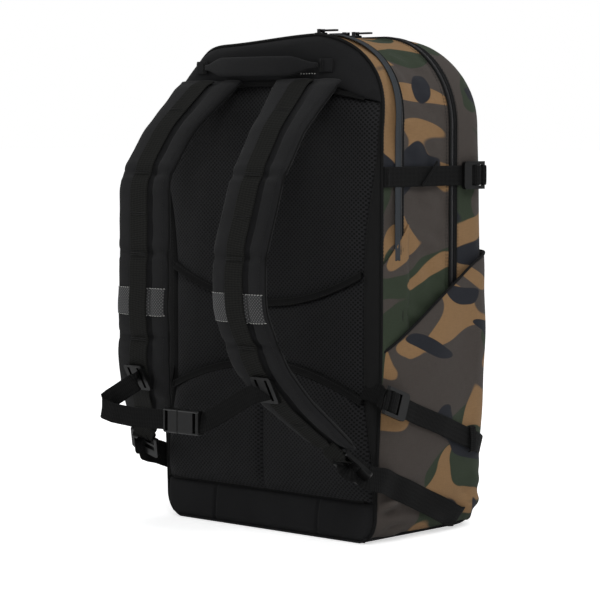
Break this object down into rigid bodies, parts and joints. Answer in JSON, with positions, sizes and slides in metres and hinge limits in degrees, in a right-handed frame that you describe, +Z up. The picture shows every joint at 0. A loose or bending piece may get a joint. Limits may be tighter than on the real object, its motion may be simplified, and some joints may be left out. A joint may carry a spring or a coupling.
{
  "type": "day backpack",
  "caption": "Camouflage day backpack with a mesh back panel, curved padded shoulder straps, sternum buckle, zipped opening front cover, side pockets and strap locks.",
  "frame": {"origin": "middle of the underside of the base, under the pack's body", "axes": "+Z up along the pack's height, -Y out of the harness side towards the wearer, +X to the right as seen facing the harness"},
  "size_m": [0.335, 0.3418, 0.5074],
  "materials": {
    "camo_fabric": "matte woven woodland pattern",
    "black_fabric": "matte plain weave",
    "air_mesh": "matte open mesh",
    "webbing": "matte ribbed",
    "foam": "matte",
    "zip_tape": "satin coil",
    "hardware": "satin acetal",
    "stiff_sheet": "satin",
    "zip_metal": "satin black",
    "reflective": "retroreflective weave"
  },
  "bodies": {
    "pack": {"base_boot": "black_fabric", "back_foam": "foam", "frame_sheet": "stiff_sheet", "laptop_gusset": "camo_fabric", "laptop_zip": "zip_tape", "main_gusset": "camo_fabric", "laptop_divider": "black_fabric", "main_zip_rear": "zip_tape", "front_lower_panel": "camo_fabric", "mesh_pad_upper": "air_mesh", "mesh_pad_middle": "air_mesh", "mesh_pad_lower": "air_mesh", "panel_bindings": "black_fabric", "yoke_panel": "black_fabric", "back_border": "black_fabric", "side_pocket_left": "camo_fabric", "side_pocket_right": "camo_fabric", "front_pocket": "camo_fabric", "front_pocket_zip": "zip_tape", "side_strap_upper_left": "webbing", "side_strap_upper_right": "webbing", "side_strap_lower_left": "webbing", "side_strap_lower_right": "webbing", "side_tab_lower_left": "webbing", "side_tab_lower_right": "webbing", "lower_webbing_left": "webbing", "lower_webbing_right": "webbing"},
    "front_cover": {"front_cover": "camo_fabric", "main_zip_front": "zip_tape", "side_tab_upper_left": "webbing", "side_tab_upper_right": "webbing"},
    "shoulder_strap_left": {"shoulder_strap_left": "black_fabric", "daisy_webbing_left": "webbing", "reflective_band_left": "reflective", "sternum_slider_left": "hardware", "sternum_web_left": "webbing"},
    "shoulder_strap_right": {"shoulder_strap_right": "black_fabric", "daisy_webbing_right": "webbing", "reflective_band_right": "reflective", "sternum_slider_right": "hardware", "sternum_web_right": "webbing", "buckle_female": "hardware"},
    "buckle_male": {"buckle_male": "hardware"},
    "grab_handle": {"grab_handle": "webbing"},
    "shoulder_ladder_left": {"shoulder_ladder_left": "hardware"},
    "side_ladder_upper_left": {"side_ladder_upper_left": "hardware"},
    "side_ladder_lower_left": {"side_ladder_lower_left": "hardware"},
    "shoulder_ladder_right": {"shoulder_ladder_right": "hardware"},
    "side_ladder_upper_right": {"side_ladder_upper_right": "hardware"},
    "side_ladder_lower_right": {"side_ladder_lower_right": "hardware"},
    "main_slider_left": {"main_slider_left": "zip_metal"},
    "main_pull_left": {"main_pull_left": "zip_metal"},
    "main_slider_right": {"main_slider_right": "zip_metal"},
    "main_pull_right": {"main_pull_right": "zip_metal"},
    "laptop_slider": {"laptop_slider": "zip_metal"},
    "laptop_pull": {"laptop_pull": "zip_metal"},
    "pocket_slider": {"pocket_slider": "zip_metal"},
    "pocket_pull": {"pocket_pull": "zip_metal"}
  },
  "joints": [
    {"name": "front_cover_open", "type": "hinge", "parent": "pack", "child": "front_cover", "pos_m": [0, 0.095, 0.29], "axis": [-1, 0, 0], "range_deg": [0, 75], "deforming": ["main_zip_front", "side_strap_upper_left", "side_strap_upper_right"]},
    {"name": "left_strap_swing", "type": "hinge", "parent": "pack", "child": "shoulder_strap_left", "pos_m": [0, -0.0988, 0.455], "axis": [-1, 0, 0], "range_deg": [0, 25], "deforming": ["lower_webbing_left"]},
    {"name": "right_strap_swing", "type": "hinge", "parent": "pack", "child": "shoulder_strap_right", "pos_m": [0, -0.0988, 0.455], "axis": [-1, 0, 0], "range_deg": [0, 25], "deforming": ["lower_webbing_right"]},
    {"name": "buckle_release", "type": "slide", "parent": "shoulder_strap_left", "child": "buckle_male", "axis": [-1, 0, 0], "range_m": [0, 0.024], "deforming": ["sternum_web_left"]},
    {"name": "grab_handle_lift", "type": "hinge", "parent": "pack", "child": "grab_handle", "pos_m": [0, -0.0958, 0.47], "axis": [-1, 0, 0], "range_deg": [0, 60]},
    {"name": "main_slider_left_travel", "type": "slide", "parent": "pack", "child": "main_slider_left", "axis": [-1, 0, 0], "range_m": [0, 0.045]},
    {"name": "main_slider_right_travel", "type": "slide", "parent": "pack", "child": "main_slider_right", "axis": [1, 0, 0], "range_m": [0, 0.03]},
    {"name": "main_pull_left_flip", "type": "hinge", "parent": "main_slider_left", "child": "main_pull_left", "pos_m": [0.0075, 0.025, 0.5058], "axis": [0, 1, 0], "range_deg": [0, 105]},
    {"name": "main_pull_right_flip", "type": "hinge", "parent": "main_slider_right", "child": "main_pull_right", "pos_m": [0.0205, 0.025, 0.5058], "axis": [0, -1, 0], "range_deg": [0, 105]},
    {"name": "laptop_slider_travel", "type": "slide", "parent": "pack", "child": "laptop_slider", "axis": [-1, 0, 0], "range_m": [0, 0.09]},
    {"name": "laptop_pull_flip", "type": "hinge", "parent": "laptop_slider", "child": "laptop_pull", "pos_m": [0.046, -0.057, 0.5058], "axis": [0, -1, 0], "range_deg": [0, 105]},
    {"name": "pocket_slider_travel", "type": "slide", "parent": "pack", "child": "pocket_slider", "axis": [-1, 0, 0], "range_m": [0, 0.125]},
    {"name": "pocket_pull_flip", "type": "hinge", "parent": "pocket_slider", "child": "pocket_pull", "pos_m": [0.066, 0.118, 0.248], "axis": [0, 0, 1], "range_deg": [0, 105]},
    {"name": "shoulder_ladder_left_tilt", "type": "hinge", "parent": "shoulder_strap_left", "child": "shoulder_ladder_left", "pos_m": [-0.13649, -0.12892, 0.09008], "axis": [-0.8665, -0.3196, 0.3835], "range_deg": [0, 20]},
    {"name": "side_ladder_upper_left_tilt", "type": "hinge", "parent": "front_cover", "child": "side_ladder_upper_left", "pos_m": [-0.1545, 0.068, 0.361], "axis": [0, 0, -1], "range_deg": [0, 25]},
    {"name": "side_ladder_lower_left_tilt", "type": "hinge", "parent": "pack", "child": "side_ladder_lower_left", "pos_m": [-0.1636, -0.09352, 0.146], "axis": [0, 0.342, 0.9397], "range_deg": [0, 25]},
    {"name": "shoulder_ladder_right_tilt", "type": "hinge", "parent": "shoulder_strap_right", "child": "shoulder_ladder_right", "pos_m": [0.13649, -0.12892, 0.09008], "axis": [-0.8665, 0.3196, -0.3835], "range_deg": [0, 20]},
    {"name": "side_ladder_upper_right_tilt", "type": "hinge", "parent": "front_cover", "child": "side_ladder_upper_right", "pos_m": [0.1545, 0.068, 0.361], "axis": [0, 0, 1], "range_deg": [0, 25]},
    {"name": "side_ladder_lower_right_tilt", "type": "hinge", "parent": "pack", "child": "side_ladder_lower_right", "pos_m": [0.1636, -0.09352, 0.146], "axis": [0, -0.342, -0.9397], "range_deg": [0, 25]}
  ],
  "couplings": [
    {"joint": "right_strap_swing", "follows": "left_strap_swing", "ratio": 1}
  ]
}
